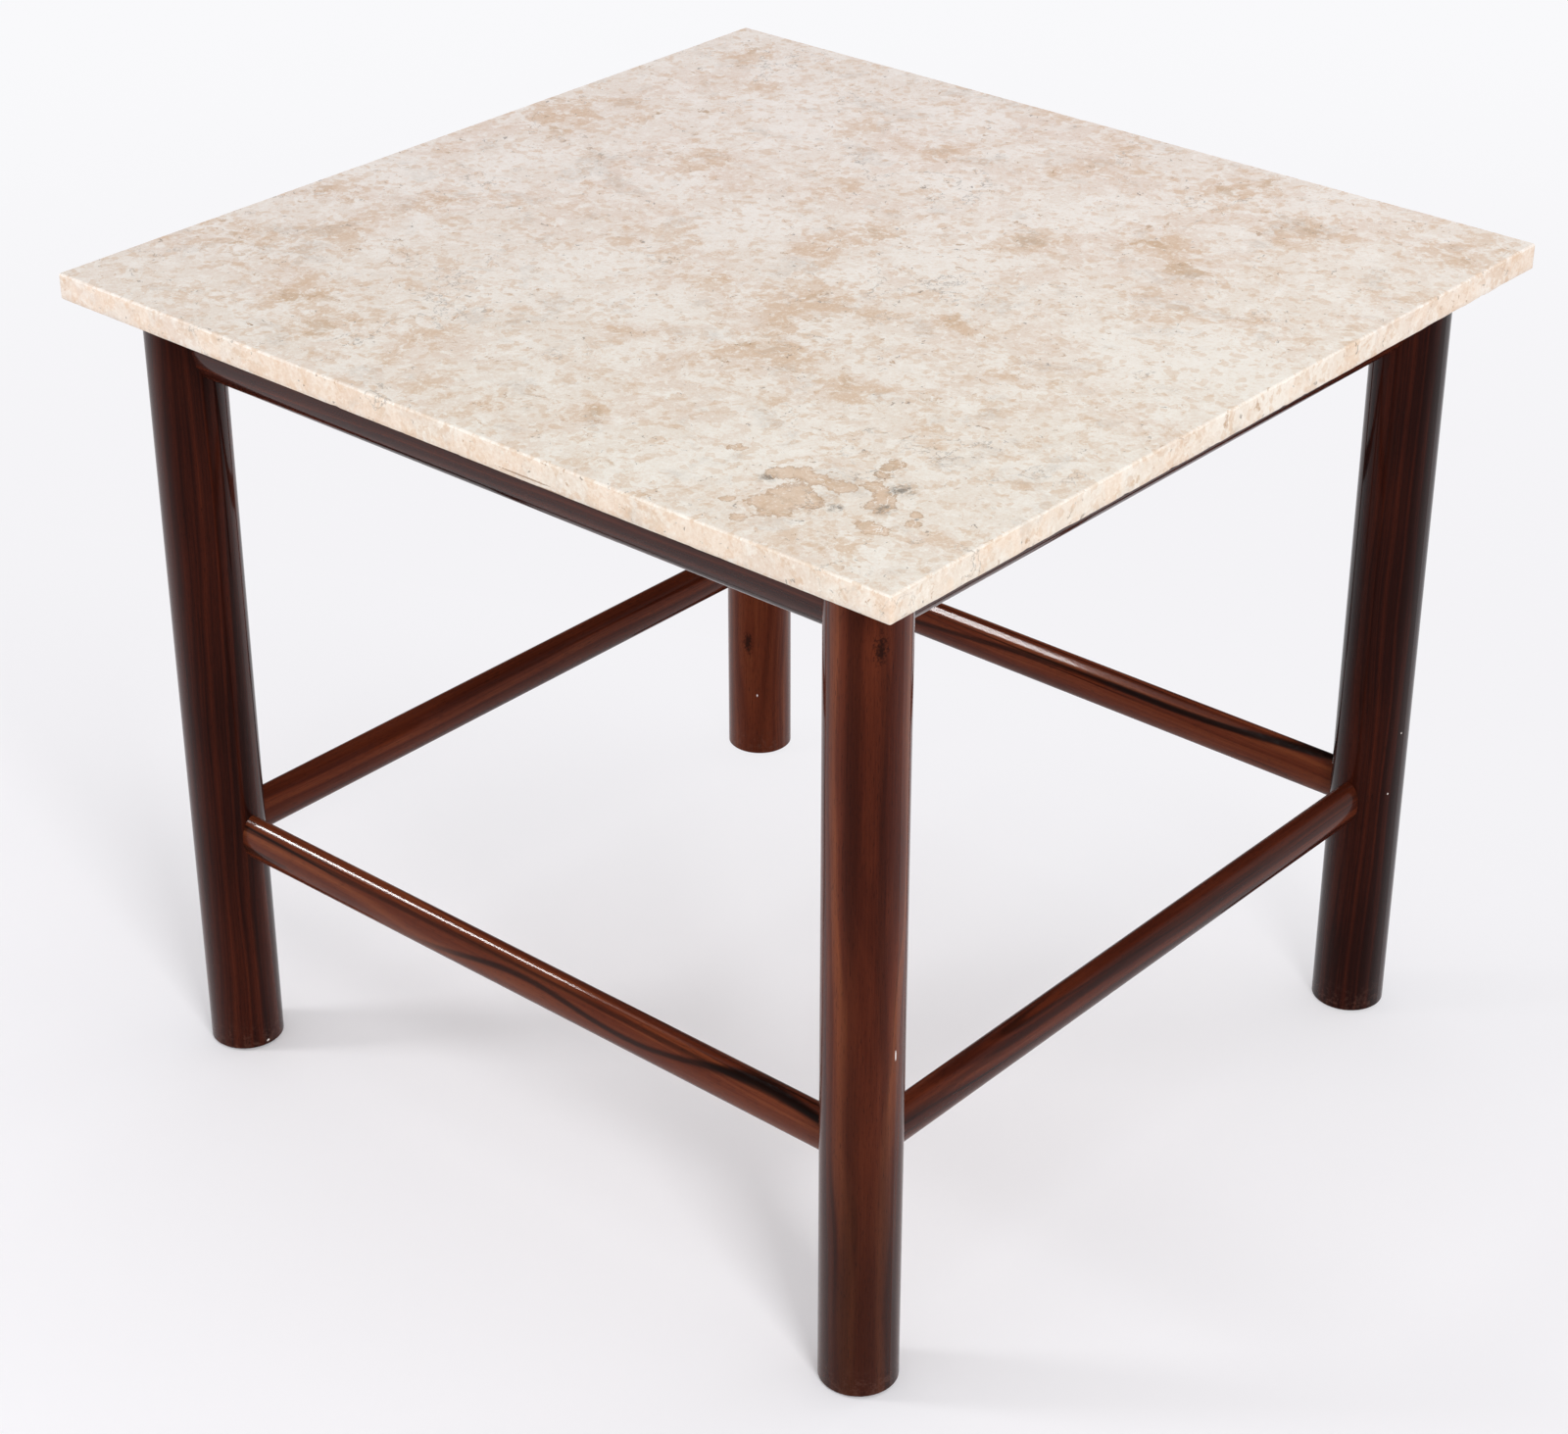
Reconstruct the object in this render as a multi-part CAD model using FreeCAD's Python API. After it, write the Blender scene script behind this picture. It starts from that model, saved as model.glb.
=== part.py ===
"""Table with a loose stone top on a base of round hardwood legs and oval bars. Millimetres, +Z up.

The origin is on the floor, midway between the four legs. Front is -Y and right is +X.
"""
import FreeCAD
import Part
import os
from FreeCAD import Vector

# Stone top
TOP_LENGTH = 860.0  # along X
TOP_WIDTH = 830.0  # along Y
TOP_THICKNESS = 22.0
TOP_BEVEL = 1.5  # flat on each upper edge and corner
UNDERSIDE_BEVEL = 1.0

# Base
TABLE_HEIGHT = 733.0  # floor to the face of the stone
LEG_DIAMETER = 64.0
OVERHANG_X = 39.0  # from a leg's outer side to the edge of the stone
OVERHANG_Y = 32.0
RAIL_WIDTH = 32.0  # the rails and stretchers are oval bars, about twice as deep as wide
RAIL_DEPTH = 60.5
STRETCHER_WIDTH = 21.0
STRETCHER_DEPTH = 41.5
STRETCHER_HEIGHT = 218.0  # floor to the axis of the bar
LEG_ARRIS = 1.0  # small bevel at both ends of a leg

# Joinery
RAIL_TENON_THICKNESS = 16.0
RAIL_TENON_HEIGHT = 32.0
STRETCHER_TENON_DIAMETER = 15.0
TENON_WEB = 2.0  # wood between the ends of two tenons that meet in one leg
PEG_DIAMETER = 8.0
PEG_TAIL = 8.0  # how far a peg goes on below its tenon
GLUE_LINE = 0.1  # gap all round a glued joint

# Pads
TOP_PAD_THICKNESS = 2.5
TOP_PAD_RIM = 5.0  # wood left round the pad on top of a leg
TOP_PAD_PROUD = 0.5  # how far the pad stands above the leg
TOP_PAD_FIT = 0.3  # gap round the pad in its recess
FOOT_PAD_THICKNESS = 1.5
FOOT_PAD_RIM = 4.0  # how far the pad lies inside the edge of the foot

LEG_RADIUS = LEG_DIAMETER / 2
LEG_X = TOP_LENGTH / 2 - OVERHANG_X - LEG_RADIUS
LEG_Y = TOP_WIDTH / 2 - OVERHANG_Y - LEG_RADIUS
TOP_UNDERSIDE = TABLE_HEIGHT - TOP_THICKNESS
LEG_TOP = TOP_UNDERSIDE - TOP_PAD_PROUD
RECESS_FLOOR = TOP_UNDERSIDE - TOP_PAD_THICKNESS
RAIL_HEIGHT = LEG_TOP - RAIL_DEPTH / 2
RAIL_TENON_STOP = RAIL_TENON_THICKNESS / 2 + GLUE_LINE + TENON_WEB
STRETCHER_TENON_STOP = STRETCHER_TENON_DIAMETER / 2 + GLUE_LINE + TENON_WEB
PEG_OFFSET = (RAIL_TENON_STOP + LEG_RADIUS) / 2
PEG_BOTTOM = RAIL_HEIGHT - RAIL_TENON_HEIGHT / 2 - PEG_TAIL
TOP_PAD_RADIUS = LEG_RADIUS - TOP_PAD_RIM
FOOT_PAD_RADIUS = LEG_RADIUS - FOOT_PAD_RIM

UP = Vector(0, 0, 1)
ALONG = Vector(1, 0, 0)
# Which way the leg stands from the middle of the table, along X and along Y
CORNERS = {
    "front_right": (1, -1),
    "front_left": (-1, -1),
    "back_right": (1, 1),
    "back_left": (-1, 1),
}
# A bar is modelled as the front one and then turned this far about the middle of the table
SIDES = {"front": 0, "right": 90, "back": 180, "left": 270}


def upright(radius, bottom, top, x=0.0, y=0.0):
    """A round solid that stands on the level bottom and ends at the level top."""
    return Part.makeCylinder(radius, top - bottom, Vector(x, y, bottom), UP)


def block(length, width, height, x, y, z):
    """A block given by the middle of its volume."""
    corner = Vector(x - length / 2, y - width / 2, z - height / 2)
    return Part.makeBox(length, width, height, corner)


def make_stone_top():
    """A slab with a flat bevel on its upper edges and corners and a smaller one below."""
    middle = TOP_UNDERSIDE + TOP_THICKNESS / 2
    slab = block(TOP_LENGTH, TOP_WIDTH, TOP_THICKNESS, 0, 0, middle)
    slab = slab.makeChamfer(TOP_BEVEL, [edge for edge in slab.Edges if edge.BoundBox.ZMax > middle])
    return slab.makeChamfer(UNDERSIDE_BEVEL, [edge for edge in slab.Edges if edge.BoundBox.ZMax < middle])


def rail_tenons(half_span, gap):
    """The core of a rail that ends in its two tenons, grown by a gap for the mortises."""
    length = 2 * (half_span - RAIL_TENON_STOP + gap)
    return block(length, RAIL_TENON_THICKNESS + 2 * gap, RAIL_TENON_HEIGHT + 2 * gap, 0, 0, RAIL_HEIGHT)


def stretcher_tenons(half_span, gap):
    """The core of a stretcher that ends in its two round tenons, grown by a gap for the sockets."""
    half = half_span - STRETCHER_TENON_STOP + gap
    start = Vector(-half, 0, STRETCHER_HEIGHT)
    return Part.makeCylinder(STRETCHER_TENON_DIAMETER / 2 + gap, 2 * half, start, ALONG)


def oval_bar(width, depth, half_length, height):
    """A bar of oval section along X, with its axis at a given height."""
    start = Vector(-half_length, 0, height)
    side = start + Vector(0, width / 2, 0)
    crown = start + UP * (depth / 2)
    oval = Part.Ellipse(crown, side, start) if depth > width else Part.Ellipse(side, crown, start)
    return Part.Face(Part.Wire(oval.toShape())).extrude(ALONG * 2 * half_length)


def make_bar(half_span, width, depth, height, tenons):
    """An oval bar along X between two legs: ends coped to the legs and mitred to the next bars."""
    bar = oval_bar(width, depth, half_span, height)
    reach = max(width, depth)
    near = half_span - GLUE_LINE + reach
    far = half_span - GLUE_LINE - reach
    outline = [(-near, -reach), (near, -reach), (far, reach), (-far, reach), (-near, -reach)]
    mitre = Part.Face(Part.makePolygon([Vector(x, y, height - reach) for x, y in outline]))
    bar = bar.common(mitre.extrude(UP * 2 * reach))
    for x in (-half_span, half_span):
        bar = bar.cut(upright(LEG_RADIUS + GLUE_LINE, height - reach, height + reach, x))
    return bar.fuse(tenons).removeSplitter()


def make_pegs(sign_x, sign_y, gap):
    """A leg's two pegs, one through each rail's tenon, grown by a gap for their holes."""
    x = sign_x * LEG_X
    y = sign_y * LEG_Y
    pegs = []
    for place in ((x - sign_x * PEG_OFFSET, y), (x, y - sign_y * PEG_OFFSET)):
        pegs.append(upright(PEG_DIAMETER / 2 + gap, PEG_BOTTOM - gap, RECESS_FLOOR, *place))
    return Part.Compound(pegs)


def make_leg(sign_x, sign_y, mortises):
    """A plain round leg with a recess for its pad, two mortises, two sockets and two peg holes."""
    x = sign_x * LEG_X
    y = sign_y * LEG_Y
    leg = upright(LEG_RADIUS, FOOT_PAD_THICKNESS, LEG_TOP, x, y)
    leg = leg.makeChamfer(LEG_ARRIS, [edge for edge in leg.Edges if edge.Closed])
    leg = leg.cut(upright(TOP_PAD_RADIUS + TOP_PAD_FIT, RECESS_FLOOR, TABLE_HEIGHT, x, y))
    leg = leg.cut(make_pegs(sign_x, sign_y, GLUE_LINE))
    return leg.cut(mortises)


def side_place(shape, side):
    """A copy of a bar made on the X axis, moved to the front and then turned to its side."""
    copy = shape.copy()
    copy.translate(Vector(0, -LEG_Y if side in ("front", "back") else -LEG_X, 0))
    copy.rotate(Vector(0, 0, 0), UP, SIDES[side])
    return copy


parts = {"stone_top": make_stone_top()}

# Bars, and the room that their tenons take in the legs
mortises = []
for side in SIDES:
    half_span = LEG_X if side in ("front", "back") else LEG_Y
    tenons = rail_tenons(half_span, 0.0)
    rail = make_bar(half_span, RAIL_WIDTH, RAIL_DEPTH, RAIL_HEIGHT, tenons)
    tenons = stretcher_tenons(half_span, 0.0)
    stretcher = make_bar(half_span, STRETCHER_WIDTH, STRETCHER_DEPTH, STRETCHER_HEIGHT, tenons)
    parts["rail_" + side] = side_place(rail, side)
    parts["stretcher_" + side] = side_place(stretcher, side)
    mortises.append(side_place(rail_tenons(half_span, GLUE_LINE), side))
    mortises.append(side_place(stretcher_tenons(half_span, GLUE_LINE), side))

# Legs with their pegs and pads
for corner, (sign_x, sign_y) in CORNERS.items():
    x = sign_x * LEG_X
    y = sign_y * LEG_Y
    parts["leg_" + corner] = make_leg(sign_x, sign_y, mortises)
    parts["rail_pegs_" + corner] = make_pegs(sign_x, sign_y, 0.0)
    parts["top_pad_" + corner] = upright(TOP_PAD_RADIUS, RECESS_FLOOR, TOP_UNDERSIDE, x, y)
    parts["foot_pad_" + corner] = upright(FOOT_PAD_RADIUS, 0.0, FOOT_PAD_THICKNESS, x, y)
    peg_holes = make_pegs(sign_x, sign_y, GLUE_LINE)
    for side in corner.split("_"):
        parts["rail_" + side] = parts["rail_" + side].cut(peg_holes)

os.makedirs("parts", exist_ok=True)
for name, shape in parts.items():
    shape.exportStep("parts/" + name + ".step")
    print(name, len(shape.Solids), "solids", round(shape.Volume / 1000, 1), "cm3", shape.isValid())
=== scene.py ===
# %% [markdown]
# # A stone slab on round rosewood legs and oval bars
#
# The table is a thick slab of pale stone that lies loose on four round legs. Deep oval rails join the
# legs under the slab, and slimmer oval stretchers join them low down. The wooden pieces come from CAD
# with exact joints, so they keep their shapes and get their finishes here. The slab and the small
# pads are modelled again, because sawn stone has a worn edge and felt has a soft rim.
#
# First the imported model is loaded. Everything is in metres, with the floor at zero height, the
# front of the table towards -Y and its right side towards +X.

# %% Load the frame
import math

import bmesh
import bpy
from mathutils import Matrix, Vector
from mathutils import noise as stone_noise


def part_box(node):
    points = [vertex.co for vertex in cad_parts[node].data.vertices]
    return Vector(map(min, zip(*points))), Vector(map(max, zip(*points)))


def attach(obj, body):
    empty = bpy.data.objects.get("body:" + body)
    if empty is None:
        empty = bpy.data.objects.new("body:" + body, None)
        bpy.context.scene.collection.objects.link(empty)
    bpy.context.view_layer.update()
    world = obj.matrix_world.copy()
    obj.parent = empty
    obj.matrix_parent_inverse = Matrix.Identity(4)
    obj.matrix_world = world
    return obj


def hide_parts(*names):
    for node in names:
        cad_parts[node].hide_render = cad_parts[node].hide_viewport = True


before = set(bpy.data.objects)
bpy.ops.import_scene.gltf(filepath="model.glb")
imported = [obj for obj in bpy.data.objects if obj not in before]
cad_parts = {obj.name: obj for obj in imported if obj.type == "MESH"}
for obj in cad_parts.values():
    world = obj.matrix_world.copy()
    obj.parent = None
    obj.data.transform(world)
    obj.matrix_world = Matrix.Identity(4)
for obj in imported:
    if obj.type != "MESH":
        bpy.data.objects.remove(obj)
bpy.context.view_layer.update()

# %% [markdown]
# ## The camera
#
# The photographer stood in front of the near corner and looked down on the slab. A camera can be
# placed by eye, but a table has many straight edges, and where they fall in the picture gives the
# camera's place, its angles and its long lens.

# %% Camera
EYE = (1.67488, -1.9594, 1.75671)
TURN_LEFT = math.radians(40.8918)
LOOK_DOWN = math.radians(29.3351)
LENS = 78.185
SENSOR_WIDTH = 36.0

lens = bpy.data.cameras.new("camera")
lens.sensor_fit = "HORIZONTAL"
lens.sensor_width = SENSOR_WIDTH
lens.lens = LENS
lens.clip_end = 100.0
camera = bpy.data.objects.new("camera", lens)
camera.location = EYE
camera.rotation_euler = (math.pi / 2 - LOOK_DOWN, 0.0, TURN_LEFT)
bpy.context.collection.objects.link(camera)
bpy.context.scene.camera = camera
print("camera", round((Vector(EYE) - Vector((0, 0, 0.4))).length, 2), "m from the table")

# %% [markdown]
# ## Small tools for building materials
#
# A procedural material is a tree of nodes. Written out in full, each node takes four or five lines,
# and the idea drowns in them. These helpers add one node to the tree that is open and return its
# output, so that a material reads like a sum. What they are given may be a plain number or the
# output of another node.

# %% Node helpers
bench = []  # the node trees so far; the last one is open


def put(kind, **settings):
    """Adds one node to the open tree and sets its options."""
    node = bench[-1].nodes.new("ShaderNode" + kind)
    for option, value in settings.items():
        setattr(node, option, value)
    return node


def feed(socket, value):
    """Links a socket to another node's output, or sets it to a plain value."""
    if isinstance(value, bpy.types.NodeSocket):
        bench[-1].links.new(value, socket)
    else:
        socket.default_value = value


def calc(operation, *values):
    """One Math node."""
    node = put("Math", operation=operation)
    for socket, value in zip(node.inputs, values):
        feed(socket, value)
    return node.outputs[0]


def times(value, factor, plus=0.0):
    """A value times a factor, plus another value."""
    return calc("MULTIPLY_ADD", value, factor, plus)


def vector_calc(operation, *values):
    """One Vector Math node. A length or a dot product is a plain value, anything else a vector."""
    node = put("VectorMath", operation=operation)
    for socket, value in zip(node.inputs, values):
        feed(socket, value)
    return node.outputs["Value" if operation in ("LENGTH", "DOT_PRODUCT") else "Vector"]


def axes(vector):
    """The X, Y and Z of a vector."""
    node = put("SeparateXYZ")
    feed(node.inputs[0], vector)
    return node.outputs


def rise(value, low, high):
    """Goes smoothly from 0 to 1 while the value goes from low to high."""
    node = put("MapRange", interpolation_type="SMOOTHSTEP")
    feed(node.inputs["Value"], value)
    feed(node.inputs["From Min"], low)
    feed(node.inputs["From Max"], high)
    return node.outputs["Result"]


def clouds(point, scale, detail, roughness, output="Fac"):
    """A Noise Texture in space: its value, or its colour as a random vector."""
    node = put("TexNoise")
    feed(node.inputs["Vector"], point)
    node.inputs["Scale"].default_value = scale
    node.inputs["Detail"].default_value = detail
    node.inputs["Roughness"].default_value = roughness
    return node.outputs[output]


def bands(distance, detail, roughness):
    """A Noise Texture along a single distance, which gives uneven bands."""
    node = put("TexNoise", noise_dimensions="1D")
    feed(node.inputs["W"], distance)
    node.inputs["Scale"].default_value = 1.0
    node.inputs["Detail"].default_value = detail
    node.inputs["Roughness"].default_value = roughness
    return node.outputs[0]


def tint(factor, first, second, blend="MIX"):
    """One Mix node for colours."""
    node = put("Mix", data_type="RGBA", blend_type=blend)
    feed(node.inputs[0], factor)
    feed(node.inputs[6], first)
    feed(node.inputs[7], second)
    return node.outputs[2]


def lay(colour, mask, share, new_colour):
    """Lays a thin coat of a colour over another one, like a wash of water colour."""
    return tint(times(mask, share), colour, new_colour)


def centred(value):
    """A noise value about zero instead of about one half."""
    return calc("SUBTRACT", value, 0.5)


def without(value):
    """One minus a value, which turns a mask round."""
    return calc("SUBTRACT", 1.0, value)


def stretch(vector, factors):
    """A vector with each of its parts multiplied."""
    return vector_calc("MULTIPLY", vector, factors)


def drift(point, scale, detail, roughness, reach):
    """A small random pull to one side that changes smoothly from place to place."""
    pull = clouds(point, scale, detail, roughness, "Color")
    return stretch(vector_calc("SUBTRACT", pull, (0.5, 0.5, 0.5)), reach)


def shades(value, stops):
    """A Color Ramp through (place, colour) stops."""
    node = put("ValToRGB")
    marks = node.color_ramp.elements
    while len(marks) < len(stops):
        marks.new(0.5)
    for mark, (place, colour) in zip(marks, stops):
        mark.position = place
        mark.color = colour
    feed(node.inputs[0], value)
    return node.outputs[0]


def paint(red, green, blue):
    """A colour as a picture program writes it, from 0 to 255, turned into Blender's linear one."""
    linear = []
    for part in (red / 255, green / 255, blue / 255):
        linear.append(part / 12.92 if part < 0.04045 else ((part + 0.055) / 1.055) ** 2.4)
    return (*linear, 1.0)


print("helpers ready; mid grey is", [round(part, 3) for part in paint(128, 128, 128)])

# %% [markdown]
# A node group is a small tool of its own: it has named inputs and outputs, is built once and can be
# placed in many materials with other values. Starting a group or a material opens its tree.

# %% Group helpers
ORIGIN = (0.0, 0.0, 0.0)


def new_group(name, inputs, outputs):
    """Starts a node group. A plain number as input makes a value, three numbers make a vector."""
    tree = bpy.data.node_groups.new(name, "ShaderNodeTree")
    bench.append(tree)
    for label, value in inputs.items():
        kind = "NodeSocketFloat" if isinstance(value, float) else "NodeSocketVector"
        tree.interface.new_socket(label, in_out="INPUT", socket_type=kind).default_value = value
    for label, kind in outputs.items():
        tree.interface.new_socket(label, in_out="OUTPUT", socket_type="NodeSocket" + kind)
    given = tree.nodes.new("NodeGroupInput").outputs
    result = tree.nodes.new("NodeGroupOutput").inputs
    return given, result


def use_group(name, values):
    """Places a node group with its own values and returns its outputs."""
    node = put("Group")
    node.node_tree = bpy.data.node_groups[name]
    for label, value in values.items():
        feed(node.inputs[label], value)
    return node.outputs


def new_material(name):
    """Starts a material and returns it with the inputs of its Principled shader."""
    material = bpy.data.materials.new(name)
    material.use_nodes = True
    bench.append(material.node_tree)
    return material, material.node_tree.nodes["Principled BSDF"].inputs


def emboss(shader, height, strength, depth, normal=None):
    """Turns a height into a bump on the shader's normal, or on a normal that is given."""
    node = put("Bump")
    if normal:
        feed(node.inputs["Normal"], normal)
    node.inputs["Strength"].default_value = strength
    node.inputs["Distance"].default_value = depth
    feed(node.inputs["Height"], height)
    feed(shader["Normal"], node.outputs["Normal"])


def hand_out(result, **values):
    """Feeds the outputs of the open group and returns the group."""
    for label, value in values.items():
        feed(result[label], value)
    return bench[-1]


def wear(piece, material):
    """Puts a material on a CAD object."""
    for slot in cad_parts[piece].material_slots:
        slot.material = material


print("group helpers ready")

# %% [markdown]
# ## The figure of rosewood
#
# Rosewood is dark red-brown with uneven growth rings, thin lines as dark as ink and long open
# pores. A flat picture of it wrapped round a bar would show a seam. In a solid figure every point
# asks how far it is from the heart of the tree, and uneven bands of that distance make the rings.
# Where a rounded bar cuts them at a slant, flames and stripes come by themselves.
#
# The group works in board coordinates, with Z along the grain. A knot pushes the rings aside.

# %% Rosewood figure
RINGS_PER_METRE = 105.0
INK_PER_METRE = 380.0
LEAN_OF_RINGS = 0.014
RING_CONTRAST = 0.72
KNOT_PUSH = 0.12
INK_BLACK = (0.0050, 0.0022, 0.0018, 1.0)
ROSEWOOD_SHADES = (
    (0.00, (0.0065, 0.0025, 0.0020, 1.0)),
    (0.28, (0.0170, 0.0042, 0.0030, 1.0)),
    (0.50, (0.0460, 0.0090, 0.0044, 1.0)),
    (0.72, (0.0930, 0.0195, 0.0080, 1.0)),
    (1.00, (0.1880, 0.0520, 0.0195, 1.0)),
)
# Spaces that are drawn out along the grain, for things that change slowly along it
WANDER_SPACE = (13.0, 13.0, 2.4)
WANDER_REACH = (0.024, 0.024, 0.0)
BREAK_SPACE = (26.0, 26.0, 3.2)
KNOT_SPACE = (1.0, 1.0, 0.42)
PATCH_SPACE = (1.0, 1.0, 0.3)
PORE_SPACE = (1.0, 1.0, 0.055)
FIBRE_SPACE = (1.0, 1.0, 0.022)
ACROSS_GRAIN = (1.0, 1.0, 0.0)


def build_rosewood_figure():
    given, result = new_group(
        "rosewood figure",
        {
            "Board": ORIGIN,
            "Pith": (0.1, 0.0, 0.0),
            "Seed": 0.0,
            "Tone": 0.5,
            "Ink": 0.5,
            "Knot": (0.0, 0.0, 9.0),
            "Knot reach": 0.02,
        },
        {"Colour": "Color", "Roughness": "Float", "Height": "Float", "Streaks": "Float"},
    )
    seed = put("CombineXYZ")
    for socket in seed.inputs:
        feed(socket, given["Seed"])
    board = vector_calc("ADD", given["Board"], seed.outputs[0])

    # Rings wander slowly along the trunk
    wander = drift(stretch(board, WANDER_SPACE), 1.0, 2.0, 0.5, WANDER_REACH)
    bent = vector_calc("ADD", given["Board"], wander)

    # A knot pushes them aside
    to_knot = stretch(vector_calc("SUBTRACT", given["Board"], given["Knot"]), KNOT_SPACE)
    knot_steps = calc("DIVIDE", vector_calc("LENGTH", to_knot), given["Knot reach"])
    knot_square = times(knot_steps, knot_steps)
    swell = calc("EXPONENT", times(knot_square, -1.0))
    swell = times(swell, times(given["Knot reach"], KNOT_PUSH))

    # Distance from the heart of the tree
    from_pith = stretch(vector_calc("SUBTRACT", bent, given["Pith"]), ACROSS_GRAIN)
    radius = calc("ADD", vector_calc("LENGTH", from_pith), swell)
    radius = times(axes(given["Board"])[2], LEAN_OF_RINGS, radius)

    # Rings, and ink lines that break off here and there
    growth_place = times(radius, RINGS_PER_METRE, given["Seed"])
    growth = centred(bands(growth_place, 4.0, 0.55))
    growth = times(growth, RING_CONTRAST, 0.5)
    ink_place = times(radius, INK_PER_METRE, given["Seed"])
    ink_line = rise(bands(ink_place, 1.5, 0.5), 0.57, 0.68)
    unbroken = rise(clouds(stretch(board, BREAK_SPACE), 1.0, 2.0, 0.5), 0.42, 0.60)
    ink_line = times(ink_line, unbroken)

    # Fibres, pores and slow changes of depth
    fibres = clouds(stretch(board, FIBRE_SPACE), 620.0, 3.0, 0.65)
    pores = rise(clouds(stretch(board, PORE_SPACE), 2300.0, 1.0, 0.5), 0.62, 0.70)
    patches = clouds(stretch(board, PATCH_SPACE), 16.0, 2.0, 0.5)
    streaks = times(centred(fibres), 0.24, growth)
    streaks = times(centred(patches), 0.36, streaks)
    streaks = times(centred(given["Tone"]), 0.8, streaks)

    colour = lay(shades(streaks, ROSEWOOD_SHADES), ink_line, given["Ink"], INK_BLACK)
    colour = lay(colour, pores, 0.55, INK_BLACK)
    crumbs = centred(clouds(board, 420.0, 3.0, 0.6))
    heart = without(rise(times(crumbs, 1.4, knot_steps), 0.05, 0.55))
    colour = lay(colour, heart, 0.8, INK_BLACK)

    gloss = times(fibres, 0.06, 0.16)
    gloss = times(pores, 0.12, gloss)
    relief = times(fibres, 0.25, times(pores, -0.6))
    relief = times(heart, -0.4, relief)
    return hand_out(result, Colour=colour, Roughness=gloss, Height=relief, Streaks=streaks)


rosewood_figure = build_rosewood_figure()
print(rosewood_figure.name, "has", len(rosewood_figure.nodes), "nodes")

# %% [markdown]
# ## Dark layers, nicks and worn feet
# The front stretcher also uses the group for a painted reflection: a dark line along the top of the bar.
#
# Some growth layers of rosewood are almost black. Where one runs along a bar it shows as a single
# wavy streak, and the eye knows each bar by it, so it must lie in a chosen place. The group takes a
# slightly leaning sheet through the bar, waves it along the grain, lets noise bend it and returns
# where the bar's surface is inside it. Start and Full let a layer come in part of the way along.
#
# Old polish shows small pale nicks where something hit it, and the feet are duller where a mop and
# shoes touch them. A nick is a small ragged spot at a given place, and a worn foot is a band that
# fades out upwards. The legs share both groups.

# %% Dark layer
SLOW_SPACE = (1.0, 1.0, 0.22)
QUICK_SPACE = (1.0, 1.0, 0.05)
SLOW_SHARE = 4.0


def build_dark_layer_and_reflection():
    given, result = new_group(
        "dark layer and painted reflection",
        {
            "Board": ORIGIN,
            "Across": (1.0, 0.0, 0.0),
            "Place": 0.0,
            "Half width": 0.004,
            "Sway": 0.001,
            "Wave": 0.0,
            "Wave length": 0.26,
            "Start": -9.0,
            "Full": -8.0,
        },
        {"Mask": "Float"},
    )
    board = given["Board"]
    slow = centred(clouds(stretch(board, SLOW_SPACE), 26.0, 2.0, 0.5))
    quick = centred(clouds(stretch(board, QUICK_SPACE), 420.0, 3.0, 0.6))
    along = axes(board)[2]
    turn = calc("DIVIDE", times(along, 2 * math.pi), given["Wave length"])
    wave = times(calc("COSINE", turn), given["Wave"])
    across = vector_calc("DOT_PRODUCT", board, given["Across"])
    off = calc("SUBTRACT", across, calc("ADD", given["Place"], wave))
    off = times(slow, times(given["Sway"], SLOW_SHARE), off)
    off = times(quick, given["Sway"], off)
    steps = calc("DIVIDE", calc("ABSOLUTE", off), given["Half width"])
    inside = without(rise(steps, 0.25, 1.0))
    begun = rise(along, given["Start"], given["Full"])
    return hand_out(result, Mask=times(inside, begun))


print(build_dark_layer_and_reflection().name, "ready")

# %% Wear groups
def build_nick():
    given, result = new_group(
        "nick",
        {"Point": ORIGIN, "Place": ORIGIN, "Half size": (0.001, 0.001, 0.004)},
        {"Mask": "Float"},
    )
    ragged = drift(given["Point"], 700.0, 2.0, 0.6, given["Half size"])
    away = vector_calc("ADD", given["Point"], ragged)
    away = vector_calc("SUBTRACT", away, given["Place"])
    steps = vector_calc("LENGTH", vector_calc("DIVIDE", away, given["Half size"]))
    return hand_out(result, Mask=without(rise(steps, 0.75, 1.0)))


def build_worn_foot():
    given, result = new_group(
        "worn foot",
        {"Point": ORIGIN, "Reach": 0.03},
        {"Mask": "Float"},
    )
    steps = calc("DIVIDE", axes(given["Point"])[2], given["Reach"])
    low = without(rise(steps, 0.05, 1.0))
    scuffs = rise(clouds(given["Point"], 160.0, 5.0, 0.7), 0.45, 0.68)
    return hand_out(result, Mask=times(low, scuffs))


print("wear groups:", build_nick().name, "and", build_worn_foot().name)

# %% [markdown]
# ## A smooth oval
#
# The surface of a CAD bar is made of long flat triangles, and a line mirrored in them looks like a
# twisted rope. The CAD meshes stay as they are, but an oval has a simple sum for its normal: the
# offset from the axis, divided each way by the square of the half size. The group takes one over
# those squares as slopes, with zero along the bar.

# %% Oval normal
def build_oval_normal():
    given, result = new_group(
        "oval normal",
        {"Offset": ORIGIN, "Slopes": (0.0, 1.0, 1.0)},
        {"Normal": "Vector"},
    )
    outwards = stretch(given["Offset"], given["Slopes"])
    turned = put("VectorTransform", vector_type="NORMAL")
    turned.convert_from = "OBJECT"
    turned.convert_to = "WORLD"
    feed(turned.inputs[0], vector_calc("NORMALIZE", outwards))
    return hand_out(result, Normal=turned.outputs[0])


print(build_oval_normal().name, "ready")
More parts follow.
